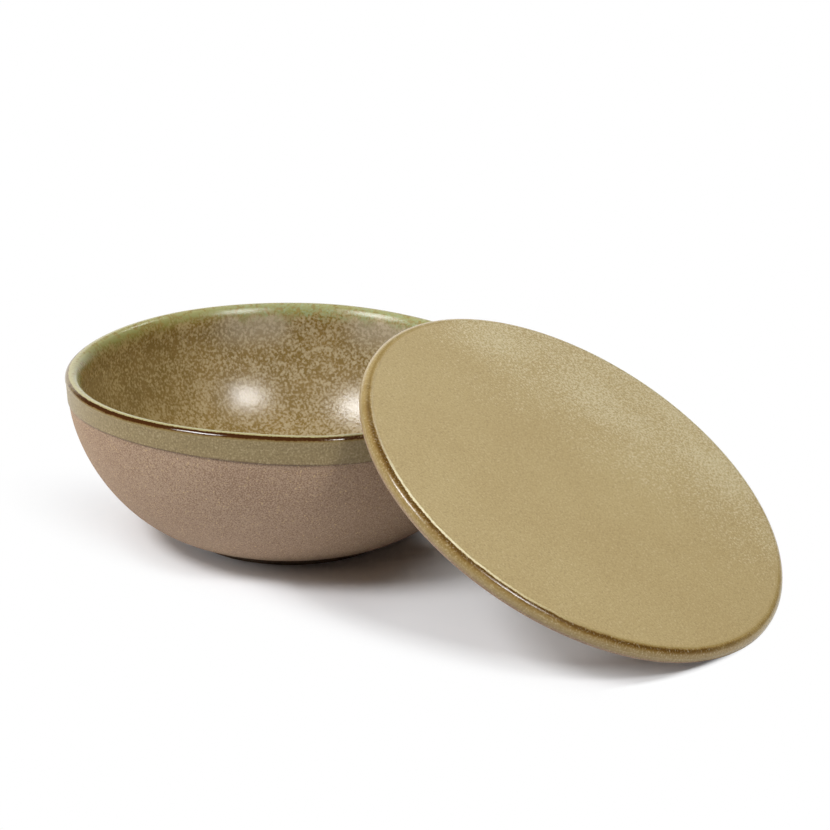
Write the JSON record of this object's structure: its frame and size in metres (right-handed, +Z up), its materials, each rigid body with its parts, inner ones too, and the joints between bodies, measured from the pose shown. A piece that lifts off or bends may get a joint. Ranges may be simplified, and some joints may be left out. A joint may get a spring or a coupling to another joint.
{
  "type": "lidded bowl",
  "caption": "Round stoneware bowl on a low foot, glazed inside and in a band under the rim, with a loose flat disc lid that leans on the rim.",
  "frame": {"origin": "centre of the bowl's foot, on the floor", "axes": "+Z up along the bowl's axis; +X from the bowl's axis towards the leaning lid; the XZ plane is the plane of symmetry"},
  "size_m": [0.3172, 0.19, 0.1007],
  "materials": {
    "bowl_clay": "bare fired clay, matt and finely speckled",
    "bowl_glaze": "olive brown reactive glaze, green under the rim, brown at the lip",
    "lid_clay": "bare fired clay, matt",
    "lid_glaze": "satin khaki glaze, brown where it breaks over the edge"
  },
  "bodies": {
    "bowl": {"bowl_body": "bowl_clay", "bowl_glaze": "bowl_glaze"},
    "lid": {"lid_body": "lid_clay", "lid_glaze": "lid_glaze"}
  },
  "joints": [
    {"name": "lid_lift", "type": "slide", "parent": "bowl", "child": "lid", "axis": [0, 0, 1], "range_m": [0, 0.12]}
  ]
}
